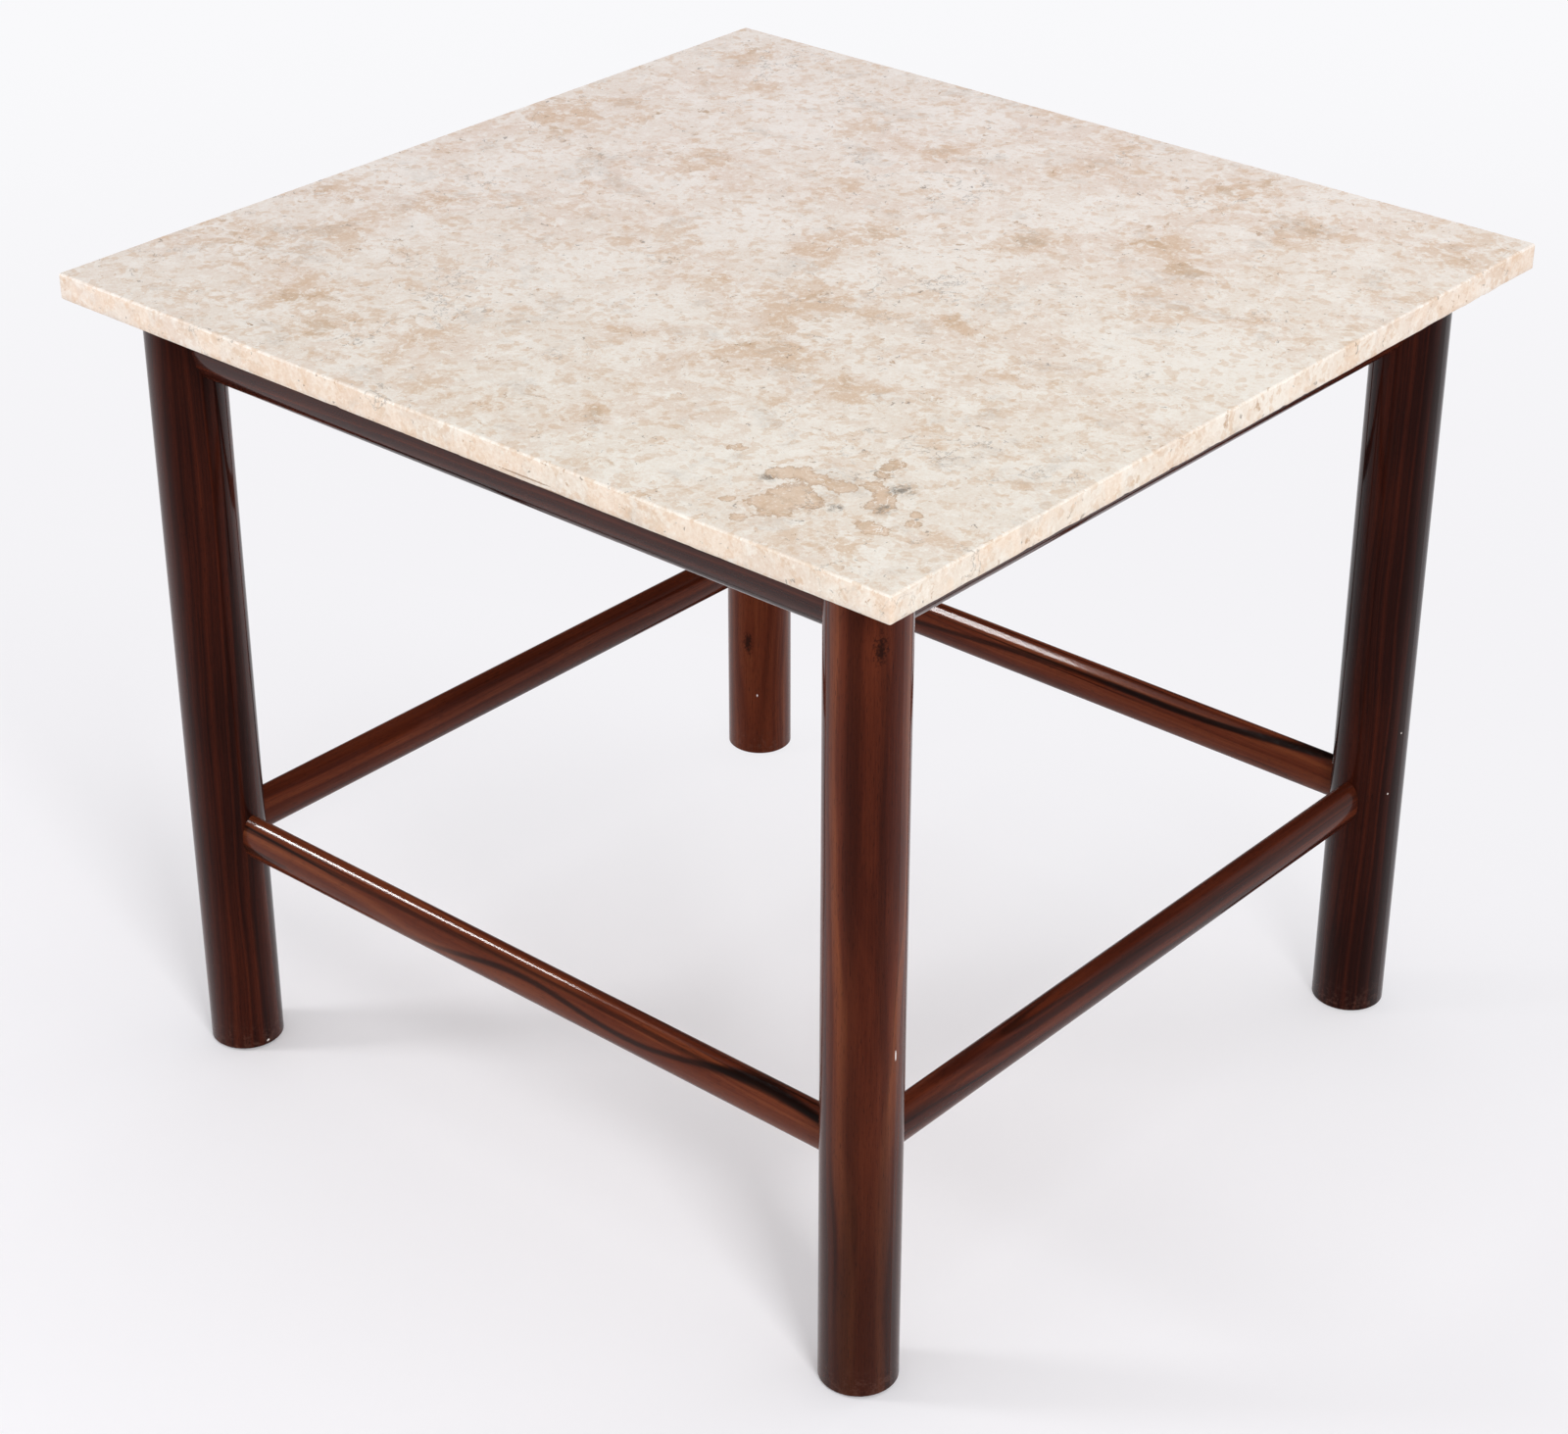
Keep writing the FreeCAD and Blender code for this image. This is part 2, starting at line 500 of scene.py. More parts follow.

# %% [markdown]
# ## Twelve bars, twelve boards
#
# No two bars come from the same part of the tree, so each gets its own place in the figure: how
# light it is, how strong its ink lines are, and on which side and how far away the heart lies. A
# heart far away gives straight stripes; a near one gives curls. The near leg is light, and the legs
# to the left and right are much darker.
# The back left leg and the front stretcher are also made lighter as painted light: it lifts the shade of
# the slab on the leg and stands in for light thrown up from the floor onto the stretcher.

# %% Wooden pieces
# For each piece: tone, ink, how far away the heart is, its bearing in degrees, and a seed
WOOD_LOOKS = {
    "leg_front_right": (0.74, 0.35, 0.085, 140.0, 2.0),
    "leg_front_left": (0.37, 0.15, 0.120, 60.0, 5.3),
    "leg_back_right": (0.28, 0.15, 0.110, 20.0, 8.1),
    # Lighter in part as painted light, which lifts the shade that the slab casts on this leg
    "leg_back_left": (0.79, 0.15, 0.060, 120.0, 11.7),
    "rail_front": (0.44, 0.25, 0.090, 90.0, 14.2),
    "rail_right": (0.44, 0.25, 0.100, 45.0, 17.9),
    "rail_back": (0.42, 0.25, 0.080, 80.0, 20.4),
    "rail_left": (0.40, 0.25, 0.095, 110.0, 23.6),
    # Lighter in part as painted light, which stands in for light thrown up from the floor
    "stretcher_front": (0.84, 0.80, 0.050, 200.0, 26.8),
    "stretcher_right": (0.58, 0.60, 0.060, 230.0, 29.1),
    "stretcher_back": (0.76, 0.70, 0.055, 210.0, 32.5),
    "stretcher_left": (0.66, 0.25, 0.070, 160.0, 35.0),
}
# Knots: where on the piece, and how far they push the rings aside
WOOD_KNOTS = {
    "leg_front_right": ((0.3853, -0.3692, 0.660), 0.012),
    "leg_back_left": ((-0.3480, 0.3210, 0.130), 0.012),
}
NO_KNOT = ((9.0, 9.0, 9.0), 0.02)
# Nicks: where on the piece, and half their size
WOOD_NICKS = {
    "leg_front_right": [((0.3910, -0.3516, 0.3165), (0.0010, 0.0008, 0.0052))],
    "leg_front_left": [((-0.3272, -0.3548, 0.0060), (0.0016, 0.0016, 0.0012))],
    "leg_back_right": [
        ((0.3907, 0.3466, 0.2884), (0.0008, 0.0008, 0.0010)),
        ((0.3882, 0.3378, 0.2298), (0.0008, 0.0008, 0.0010)),
    ],
    "leg_back_left": [((-0.3400, 0.3255, 0.0700), (0.0008, 0.0008, 0.0016))],
}
# Dark layers, and one painted reflection line: how dark each is, and its values for the group above.
# Across is in board order, and its last number makes the sheet lean
ACROSS_NEAR_LEG = (0.756, 0.654, 0.0)
FRONT_WAVE = {"Across": (0.0, 1.0, -0.041), "Wave": 0.0065}
BACK_WAVE = {"Across": (0.0, 1.0, -0.040), "Wave": 0.0025, "Wave length": 0.40}
DARK_LAYERS_AND_REFLECTION = {
    "leg_front_right": [
        (0.30, {"Across": ACROSS_NEAR_LEG, "Place": -0.011, "Half width": 0.0085, "Sway": 0.0035}),
        (0.25, {"Across": (0.756, 0.654, 0.018), "Place": 0.015, "Half width": 0.0050, "Sway": 0.0045}),
        # Darker towards the bottom of the near leg
        (0.58, {"Across": ACROSS_NEAR_LEG, "Half width": 0.080, "Sway": 0.0, "Start": 0.0, "Full": -0.27}),
    ],
    "stretcher_front": [
        # Painted reflection: a straight dark line along the top of the bar, where its polish mirrors the
        # dark underside of the slab above the white line
        (0.60, {"Across": (0.0, 1.0, 0.0), "Place": 0.013, "Half width": 0.0030, "Sway": 0.0012}),
        (0.80, {**FRONT_WAVE, "Place": -0.0003, "Half width": 0.0042, "Start": -0.16, "Full": -0.04}),
        (0.88, {**FRONT_WAVE, "Place": -0.0013, "Half width": 0.0060, "Start": 0.17, "Full": 0.25}),
    ],
    "stretcher_back": [
        (0.72, {**BACK_WAVE, "Place": 0.0062, "Half width": 0.0040}),
        (0.85, {**BACK_WAVE, "Place": 0.0066, "Half width": 0.0042, "Start": 0.03, "Full": 0.11}),
    ],
    "stretcher_right": [
        (0.40, {"Across": (1.0, 0.0, 0.0), "Place": 0.0095, "Half width": 0.0042, "Sway": 0.0030}),
    ],
}
NICK_PALE = paint(214, 205, 200)
WORN_POLISH = paint(92, 62, 52)
WOOD_SPECULAR = 0.008
WOOD_BUMP = 0.14
WOOD_RELIEF = 0.0003
POLISH_ROUGHNESS = 0.07
SHEEN_STARTS = 0.12
SHEEN_FULL = 0.60
# How strongly the polish mirrors face-on, and how much it gains towards the outline
POLISH = {"leg": (0.05, 0.45), "rail": (0.50, 0.0), "stretcher": (0.05, 0.32)}
FOOT_WEAR_REACH = 0.035


def board_order(values, grain):
    """Puts X, Y and Z in board order, with the grain's own axis last."""
    return (values[(grain + 1) % 3], values[(grain + 2) % 3], values[grain])


def finish_wood(piece):
    """Makes the polish for one bar and puts it on its CAD object."""
    tone, ink, pith, bearing, seed = WOOD_LOOKS[piece]
    low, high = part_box(piece)
    middle = (low + high) / 2
    size = high - low
    grain = max(range(3), key=lambda axis: size[axis])
    bearing = math.radians(bearing)
    knot_place, knot_reach = WOOD_KNOTS.get(piece, NO_KNOT)

    material, shader = new_material("rosewood_" + piece)
    point = put("TexCoord").outputs["Object"]
    offset = vector_calc("SUBTRACT", point, tuple(middle))
    board = put("CombineXYZ")
    for socket, value in zip(board.inputs, board_order(axes(offset), grain)):
        feed(socket, value)
    figure = use_group("rosewood figure", {
        "Board": board.outputs[0],
        "Pith": (pith * math.cos(bearing), pith * math.sin(bearing), 0.0),
        "Seed": seed,
        "Tone": tone,
        "Ink": ink,
        "Knot": board_order(Vector(knot_place) - middle, grain),
        "Knot reach": knot_reach,
    })
    colour = figure["Colour"]
    gloss = figure["Roughness"]
    relief = figure["Height"]
    for depth, values in DARK_LAYERS_AND_REFLECTION.get(piece, []):
        mask = use_group("dark layer and painted reflection", {"Board": board.outputs[0], **values})["Mask"]
        colour = lay(colour, mask, depth, INK_BLACK)
    if piece.startswith("leg"):
        worn = use_group("worn foot", {"Point": point, "Reach": FOOT_WEAR_REACH})["Mask"]
        colour = lay(colour, worn, 0.45, WORN_POLISH)
        gloss = times(worn, 0.3, gloss)
    for place, half_size in WOOD_NICKS.get(piece, []):
        nick = use_group("nick", {"Point": point, "Place": place, "Half size": half_size})["Mask"]
        colour = tint(nick, colour, NICK_PALE)
        gloss = times(nick, 0.4, gloss)
        relief = times(nick, -0.8, relief)
    feed(shader["Base Color"], colour)
    feed(shader["Roughness"], gloss)
    shader["Specular IOR Level"].default_value = WOOD_SPECULAR
    shader["Coat Roughness"].default_value = POLISH_ROUGHNESS
    slant = put("LayerWeight")
    slant.inputs["Blend"].default_value = 0.5
    sheen = rise(slant.outputs["Facing"], SHEEN_STARTS, SHEEN_FULL)
    face_on, gain = POLISH[piece.split("_")[0]]
    feed(shader["Coat Weight"], times(sheen, gain, face_on))
    smooth = None
    if not piece.startswith("leg"):
        slopes = [0.0 if axis == grain else 4.0 / size[axis] ** 2 for axis in range(3)]
        smooth = use_group("oval normal", {"Offset": offset, "Slopes": slopes})["Normal"]
        feed(shader["Coat Normal"], smooth)
        feed(slant.inputs["Normal"], smooth)
    emboss(shader, relief, WOOD_BUMP, WOOD_RELIEF, smooth)
    wear(piece, material)
    return "XYZ"[grain]


grain_ways = {piece: finish_wood(piece) for piece in WOOD_LOOKS}
print("grain runs along", grain_ways)

# %% [markdown]
# ## Pegs
#
# Two pegs lock the tenons of the rails in the top of each leg. They sit under the pads, and are
# split from paler, straight-grained wood. They borrow the streaks of the rosewood group and colour
# them with their own light shades.

# %% Pegs
PEG_SHADES = (
    (0.15, paint(150, 108, 70)),
    (0.55, paint(186, 146, 100)),
    (0.90, paint(206, 172, 128)),
)
peg_wood, shader = new_material("peg_wood")
point = put("TexCoord").outputs["Object"]
peg_values = {"Board": point, "Pith": (3.0, 1.0, 0.0), "Ink": 0.0}
figure = use_group("rosewood figure", peg_values)
feed(shader["Base Color"], shades(figure["Streaks"], PEG_SHADES))
feed(shader["Roughness"], calc("ADD", figure["Roughness"], 0.35))
emboss(shader, figure["Height"], WOOD_BUMP, WOOD_RELIEF)
peg_nodes = [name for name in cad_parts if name.startswith("rail_pegs")]
for name in peg_nodes:
    wear(name, peg_wood)
print("pegs finished:", len(peg_nodes))

# %% [markdown]
# ## The figure of the stone
#
# The slab is a dense cream limestone with pinkish tan clouds, whiter flecks, grey hairlines and
# short dark cracks. Like the wood, it is a solid figure, so that a cloud on the face goes on over
# the edge and down the side.
#
# Noise alone would scatter the clouds anywhere. Soft spots, placed where the real slab has its
# larger clouds, lift the noise there, and the ragged edges still come from the noise.

# %% Soft spot
def build_soft_spot():
    given, result = new_group(
        "soft spot",
        {"Point": ORIGIN, "Place": ORIGIN, "Reach": 0.05},
        {"Mask": "Float"},
    )
    away = vector_calc("LENGTH", vector_calc("SUBTRACT", given["Point"], given["Place"]))
    steps = calc("DIVIDE", away, given["Reach"])
    return hand_out(result, Mask=without(rise(steps, 0.0, 1.0)))


print(build_soft_spot().name, "ready")

# %% Stone places
MM = 0.001
FACE = 0.733  # height of the slab's face
# Tan clouds on the slab's face: x, y and reach in millimetres
TAN_CLOUDS = (
    (65, -65, 75), (95, -150, 75), (-30, -80, 28), (0, 20, 50), (0, 75, 42), (-80, 140, 38),
    (-70, 265, 36), (-215, 105, 52), (-380, 115, 80), (200, 215, 50), (250, 185, 50),
    (285, 110, 46), (340, 125, 34), (115, 165, 50), (105, 125, 42), (180, -30, 38), (265, -80, 26),
    (310, -35, 22), (200, -180, 45), (180, 360, 80), (60, 335, 45), (270, 320, 55), (-370, 355, 48),
    (-300, 290, 34), (-330, -200, 58), (-400, -140, 55), (-250, -320, 68), (-185, -345, 58),
    (-390, -275, 55), (-115, -315, 46), (-45, -380, 34), (10, -375, 26), (75, -330, 30),
    (-10, -205, 26), (-320, -105, 38), (415, 355, 55), (400, -332, 30), (370, -377, 28),
    (387, -226, 14), (206, -404, 15),
)
# Pale patches
PALE_PATCHES = (
    (-100, 340, 60), (-195, 50, 48), (-90, 50, 65), (-335, 20, 58), (-385, -100, 85),
    (-130, -145, 75), (-45, -165, 65), (70, 80, 45), (110, 215, 80), (-235, 275, 75),
    (210, -325, 90), (350, 20, 120), (-5, 205, 30), (289, -301, 12), (285, -325, 15),
)
# Grey-brown veils
GREY_VEILS = (
    (-140, 225, 90), (-260, 35, 65), (95, -145, 40), (270, 320, 50), (-330, -245, 70),
    (-80, -220, 80),
)
# Stains with hard edges near the front corner
BROWN_STAINS = (
    (250, -320, 17), (262, -310, 18), (280, -311, 16), (300, -309, 17), (278, -340, 24),
    (297, -342, 18), (285, -365, 23), (268, -362, 15), (304, -259, 15), (308, -277, 9),
    (315, -292, 13), (331, -302, 17), (339, -317, 15), (374, -322, 10), (365, -309, 8),
    (352, -346, 16), (364, -345, 13), (201, -307, 11), (250, -375, 11), (275, -392, 11),
)
# Dark smudges beside them
GREY_STAINS = (
    (334, -284, 17), (343, -318, 13), (249, -331, 12), (316, -337, 10),
)


def gather(point, spots):
    """Adds up soft spots at several places on the slab's face."""
    total = 0.0
    for x, y, reach in spots:
        values = {"Point": point, "Place": (x * MM, y * MM, FACE), "Reach": reach * MM}
        total = calc("ADD", use_group("soft spot", values)["Mask"], total)
    return total


print("tan clouds:", len(TAN_CLOUDS), "pale patches:", len(PALE_PATCHES), "stains:", len(BROWN_STAINS))

# %% Stone tools
def hairline(point, scale, detail, width):
    """Thin lines where a noise crosses its middle value."""
    off = calc("ABSOLUTE", centred(clouds(point, scale, detail, 0.6)))
    return without(rise(off, width * 0.4, width))


def stir(point, scale, detail, reach):
    """Pulls every point to one side, which gives a figure ragged edges."""
    return vector_calc("ADD", point, drift(point, scale, detail, 0.6, (reach, reach, reach)))


def fragments(point, scale):
    """A Voronoi Texture that gives each small fragment its own value from 0 to 1."""
    node = put("TexVoronoi")
    feed(node.inputs["Vector"], point)
    node.inputs["Scale"].default_value = scale
    split = put("SeparateColor")
    feed(split.inputs[0], node.outputs["Color"])
    return split.outputs[0]


def veil(point, scale, level, edge, boost=0.0):
    """Where a cloud is above a level. A boost makes more of it there."""
    cloud = calc("ADD", clouds(point, scale, 9.0, 0.58), boost)
    return rise(cloud, level - edge, level + edge)


print("stone tools ready")

# %% Stone figure
STONE_GROUND = paint(236, 226, 215)
STONE_IVORY = paint(243, 237, 229)
STONE_ROSE = paint(229, 210, 195)
STONE_TAN = paint(218, 189, 161)
STONE_PEACH = paint(241, 214, 188)
STONE_BROWN = paint(199, 167, 132)
STONE_WHITE = paint(247, 242, 235)
STONE_GREY = paint(180, 172, 164)
STONE_SMUDGE = paint(140, 131, 120)
STONE_CRACK = paint(84, 74, 68)
STONE_RUST = paint(150, 114, 82)
TURN_PINK = (1.0, 0.980, 1.000, 1.0)
TURN_YELLOW = (1.0, 1.000, 0.975, 1.0)
# Painted shade at the front of the face and painted light at its back
FRONT_PAINTED_SHADE = (0.96, 0.96, 0.96, 1.0)
BACK_PAINTED_LIGHT = (1.04, 1.04, 1.04, 1.0)
SPOT_BOOST = 0.13
VEIL_BOOST = 0.12
# Washes of colour, from broad and soft to small and crisp: which copy of the space, how fine the
# cloud is, its level and half its edge, which spots help it along, its share and its colour
WASHES = (
    ("bent", 9.0, 0.53, 0.080, "less tan", 0.60, STONE_ROSE),
    ("elsewhere", 17.0, 0.56, 0.015, "pale", 0.70, STONE_IVORY),
    ("beyond", 20.0, 0.62, 0.020, "less tan", 0.50, STONE_TAN),
    ("apart", 34.0, 0.61, 0.012, "less tan", 0.50, STONE_TAN),
    ("bent", 46.0, 0.57, 0.012, "pale", 0.60, STONE_IVORY),
    ("beyond", 72.0, 0.61, 0.015, "tan", 0.50, STONE_TAN),
    ("elsewhere", 30.0, 0.69, 0.020, "less tan", 0.55, STONE_BROWN),
    ("apart", 110.0, 0.60, 0.015, "none", 0.60, STONE_WHITE),
)


def build_stone_figure():
    given, result = new_group(
        "stone figure",
        {"Point": ORIGIN, "Warmth": 0.0},
        {"Colour": "Color", "Roughness": "Float", "Height": "Float"},
    )
    point = given["Point"]
    bent = stir(stir(point, 12.0, 3.0, 0.036), 85.0, 4.0, 0.012)
    elsewhere = vector_calc("ADD", bent, (3.1, 1.7, 0.4))
    beyond = vector_calc("ADD", bent, (7.3, 2.9, 1.1))
    apart = vector_calc("ADD", bent, (1.9, 8.3, 2.7))
    ragged = stir(point, 150.0, 4.0, 0.007)

    # Washes, then chips and crumbs of other stone
    tan = times(gather(bent, TAN_CLOUDS), SPOT_BOOST)
    pale = times(gather(bent, PALE_PATCHES), SPOT_BOOST)
    spaces = {"bent": bent, "elsewhere": elsewhere, "beyond": beyond, "apart": apart}
    boosts = {"tan": tan, "pale": pale, "less tan": calc("SUBTRACT", tan, pale), "none": 0.0}
    colour = STONE_GROUND
    for space, scale, level, edge, boost, share, wash in WASHES:
        mask = veil(spaces[space], scale, level, edge, boosts[boost])
        colour = lay(colour, mask, share, wash)
    colour = lay(colour, rise(fragments(ragged, 75.0), 0.86, 0.88), 0.36, STONE_WHITE)
    colour = lay(colour, rise(fragments(ragged, 160.0), 0.84, 0.86), 0.40, STONE_TAN)

    # Pinker to the back left and yellower to the front right, darker at the front as painted shade and
    # paler to the back as painted light, peach on sawn sides
    x, y, _ = axes(point)
    hue = tint(rise(calc("SUBTRACT", x, y), -0.5, 0.6), TURN_PINK, TURN_YELLOW)
    colour = tint(1.0, colour, hue, "MULTIPLY")
    # Painted shade and light: the face is darkened towards the front and lightened towards the back, which
    # evens out the lamps at the front
    depth = tint(rise(y, -0.40, 0.40), FRONT_PAINTED_SHADE, BACK_PAINTED_LIGHT)
    colour = tint(1.0, colour, depth, "MULTIPLY")
    flush = times(given["Warmth"], veil(bent, 20.0, 0.50, 0.06))
    colour = lay(colour, flush, 0.6, STONE_PEACH)

    # Grey veils
    speckle = rise(clouds(beyond, 150.0, 6.0, 0.7), 0.40, 0.66)
    grey = times(gather(bent, GREY_VEILS), VEIL_BOOST)
    smoke = veil(elsewhere, 24.0, 0.61, 0.05, grey)
    smoke = times(smoke, times(speckle, 0.7, 0.3))
    colour = lay(colour, smoke, 0.34, STONE_GREY)

    # Brown stains with a hard edge, crossed by white threads
    stain_noise = centred(clouds(elsewhere, 90.0, 5.0, 0.62))
    stain_place = times(stain_noise, 2.0, gather(ragged, BROWN_STAINS))
    stain = rise(stain_place, 0.31, 0.39)
    rim = calc("SUBTRACT", stain, rise(stain_place, 0.42, 0.62))
    mood = rise(clouds(beyond, 70.0, 5.0, 0.65), 0.42, 0.64)
    colour = lay(colour, stain, 0.75, tint(mood, STONE_TAN, STONE_BROWN))
    colour = lay(colour, rim, 0.34, STONE_RUST)
    smudge = times(gather(ragged, GREY_STAINS), speckle)
    colour = lay(colour, smudge, 1.40, STONE_SMUDGE)
    thread = times(hairline(beyond, 26.0, 3.0, 0.008), stain)
    colour = lay(colour, thread, 0.7, STONE_WHITE)

    # Hairlines, short cracks, specks and grain
    keep_vein = rise(clouds(beyond, 9.0, 3.0, 0.5), 0.53, 0.60)
    vein = times(hairline(bent, 9.0, 8.0, 0.005), keep_vein)
    colour = lay(colour, vein, 0.38, STONE_CRACK)
    keep_crack = rise(clouds(elsewhere, 110.0, 3.0, 0.6), 0.615, 0.655)
    crack = times(hairline(beyond, 55.0, 2.0, 0.018), keep_crack)
    colour = lay(colour, crack, 0.58, STONE_CRACK)
    speck = rise(clouds(elsewhere, 260.0, 2.0, 0.5), 0.755, 0.775)
    colour = lay(colour, speck, 0.65, STONE_CRACK)
    grain = clouds(point, 320.0, 8.0, 0.80)
    colour = lay(colour, rise(grain, 0.50, 0.68), 0.55, STONE_TAN)
    colour = lay(colour, rise(grain, 0.50, 0.32), 0.70, STONE_WHITE)

    gloss = times(grain, 0.14, 0.46)
    gloss = times(crack, 0.25, gloss)
    relief = times(crack, -1.0, times(grain, 0.12))
    relief = times(speck, -0.8, relief)
    relief = times(vein, -0.25, relief)
    return hand_out(result, Colour=colour, Roughness=gloss, Height=relief)


stone_figure = build_stone_figure()
print(stone_figure.name, "has", len(stone_figure.nodes), "nodes")

# %% [markdown]
# The face of the slab is honed to a satin and the sides are only sawn and rubbed, so they are a
# little rougher and look warmer. The sides are also a little darker as painted shade, which keeps the
# key lamp from making them too bright. Both finishes use the same figure, so it runs on round the edge.
# A honed face mirrors lamps as a wide soft sheen, so its specular level is low.

# %% Stone finishes
STONE_RELIEF = 0.0005
STONE_SPECULAR = 0.30
HONED_SHADE = (0.963, 0.963, 0.963, 1.0)
# Sawn sides: a warmer tint of the sawn stone, and painted shade that darkens them against the key lamp
SAWN_TINT_AND_PAINTED_SHADE = (0.89, 0.87, 0.85, 1.0)
# Brown cracks on the front side: place and half size
SIDE_CRACKS = (
    ((0.092, -0.415, 0.7150), (0.0300, 0.0040, 0.0009)),
    ((0.118, -0.415, 0.7115), (0.0160, 0.0040, 0.0011)),
)


def finish_stone(name, warmth, extra_roughness, bump, shade, cracks=()):
    """Makes one finish of the stone."""
    material, shader = new_material(name)
    point = put("TexCoord").outputs["Object"]
    figure = use_group("stone figure", {"Point": point, "Warmth": warmth})
    colour = figure["Colour"]
    for place, half_size in cracks:
        crack = use_group("nick", {"Point": point, "Place": place, "Half size": half_size})["Mask"]
        colour = lay(colour, crack, 0.7, STONE_RUST)
    feed(shader["Base Color"], tint(1.0, colour, shade, "MULTIPLY"))
    feed(shader["Roughness"], calc("ADD", figure["Roughness"], extra_roughness))
    shader["Specular IOR Level"].default_value = STONE_SPECULAR
    emboss(shader, figure["Height"], bump, STONE_RELIEF)
    return material


honed_stone = finish_stone("stone_honed", 0.0, 0.0, 0.25, HONED_SHADE)
sawn_stone = finish_stone("stone_sawn", 0.6, 0.2, 0.6, SAWN_TINT_AND_PAINTED_SHADE, SIDE_CRACKS)
print("stone finishes:", honed_stone.name, sawn_stone.name)

# %% [markdown]
# ## The slab
#
# The slab could be a box with a bevel, but a real edge is never that even. Its outline is walked
# in small steps, and each step draws a short section from the face over the upper bevel, down the
# side and under the lower bevel. Noise makes the bevels uneven and bites small chips out of them.
# The right side is the roughest. Everything cuts inwards, so the slab stays within its CAD size.

# %% Slab outline
slab_low, slab_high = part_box("stone_top")
OUTLINE_STEP = 0.0025
CORNER_RADIUS = 0.0022
CORNER_STEPS = 4
CALM_REACH = 0.02  # wear fades out this near to a corner
SIDE_NAMES = ("right", "back", "left", "front")


def slab_outline():
    """Points round the slab with their outward direction, their side and how near the corner is."""
    half = (slab_high - slab_low) / 2
    centre = (slab_high + slab_low) / 2
    outline = []
    for number, side in enumerate(SIDE_NAMES):
        outward = Vector((math.cos(number * math.pi / 2), math.sin(number * math.pi / 2)))
        along = Vector((-outward.y, outward.x))
        reach = abs(outward.x) * half.x + abs(outward.y) * half.y
        run = abs(along.x) * half.x + abs(along.y) * half.y - CORNER_RADIUS
        steps = round(2 * run / OUTLINE_STEP)
        for step in range(steps):
            way = -run + 2 * run * step / steps
            place = centre.xy + outward * reach + along * way
            outline.append((place, outward, side, min(1.0, (run - abs(way)) / CALM_REACH)))
        for step in range(CORNER_STEPS):
            turn = math.pi / 2 * step / CORNER_STEPS
            direction = outward * math.cos(turn) + along * math.sin(turn)
            pivot = centre.xy + outward * (reach - CORNER_RADIUS) + along * run
            outline.append((pivot + direction * CORNER_RADIUS, direction, side, 0.0))
    return outline


outline = slab_outline()
print("slab outline has", len(outline), "points")

# %% Slab edges
BEVEL = 0.0015
LOW_BEVEL = 0.0010
BEVEL_ROWS = 2
SIDE_ROWS = 5
HONED, SAWN = 0, 1  # the slab's material slots
# For each side: how uneven its bevel is, how deep chips go, how rough the sawn side is and how far
# the lower edge waves
EDGE_WEAR = {
    "front": (0.10, 0.0010, 0.00015, 0.0003),
    "right": (0.30, 0.0015, 0.00050, 0.0010),
    "back": (0.20, 0.0014, 0.00030, 0.0008),
    "left": (0.15, 0.0012, 0.00025, 0.0005),
}


def bite(place, height, fineness, threshold):
    """How far the noise rises above a threshold here, from 0 to about 1."""
    value = stone_noise.noise(Vector((place.x, place.y, height)) * fineness)
    return max(0.0, (value - threshold) / (1.0 - threshold))


def edge_section(place, side, calm):
    """Inset and height of each point of the section, from the face down to the underside."""
    uneven, chip_depth, rough, wave = EDGE_WEAR[side]
    sway = 1.0 + uneven * calm * stone_noise.noise(Vector((place.x, place.y, 3.0)) * 60.0)
    chip = calm * chip_depth * bite(place, 5.0, 90.0, 0.35)
    upper = BEVEL * sway + chip
    under_chip = calm * chip_depth * 1.6 * bite(place, 8.0, 70.0, 0.30)
    lower = LOW_BEVEL * sway + under_chip + calm * wave * bite(place, 11.0, 45.0, -0.2)
    top = slab_high.z
    bottom = slab_low.z
    section = [(upper, top), (upper * 0.40, top - upper * 0.40)]
    for row in range(SIDE_ROWS + 1):
        height = top - upper + (bottom + lower - top + upper) * row / SIDE_ROWS
        dent = rough * calm * (0.5 + 0.5 * stone_noise.noise(Vector((place.x, place.y, height)) * 130.0))
        section.append((dent, height))
    section.append((lower, bottom))
    return section


def skin(shape, columns):
    """Joins columns of points round a shape, closes it above and below and returns its faces."""
    sides = []
    for number, column in enumerate(columns):
        following = columns[(number + 1) % len(columns)]
        for row in range(len(column) - 1):
            corners = (column[row], column[row + 1], following[row + 1], following[row])
            sides.append((row, shape.faces.new(corners)))
    top = shape.faces.new([column[0] for column in columns])
    under = shape.faces.new([column[-1] for column in reversed(columns)])
    return sides, top, under


def place_mesh(shape, name, *materials):
    """Turns a finished shape into an object in the scene."""
    mesh = bpy.data.meshes.new(name)
    shape.to_mesh(mesh)
    shape.free()
    for material in materials:
        mesh.materials.append(material)
    thing = bpy.data.objects.new(name, mesh)
    bpy.context.collection.objects.link(thing)
    return thing


def build_slab():
    shape = bmesh.new()
    columns = []
    for place, outward, side, calm in outline:
        column = []
        for inset, height in edge_section(place, side, calm):
            spot = place - outward * inset
            column.append(shape.verts.new((spot.x, spot.y, height)))
        columns.append(column)
    sides, top, under = skin(shape, columns)
    for row, face in sides:
        face.smooth = True
        face.material_index = HONED if row < BEVEL_ROWS else SAWN
    under.material_index = SAWN
    for edge in list(top.edges) + list(under.edges):
        edge.smooth = False
    return place_mesh(shape, "slab", honed_stone, sawn_stone)


slab = build_slab()
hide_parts("stone_top")
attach(slab, "top")
print("slab faces", len(slab.data.polygons))

# %% [markdown]
# ## Pads
#
# A thin felt disc under each leg guards the floor, and a rubber disc in the top of each leg keeps
# the slab from sliding. Both are punched from sheet, so they have a flat middle and a rim that the
# punch rounded over. Turning a short profile round an axis gives exactly that.

# %% Pad shapes
PAD_STEPS = 72
RIM_STEPS = 5
RIM_SHARE = 0.45  # of the pad's thickness


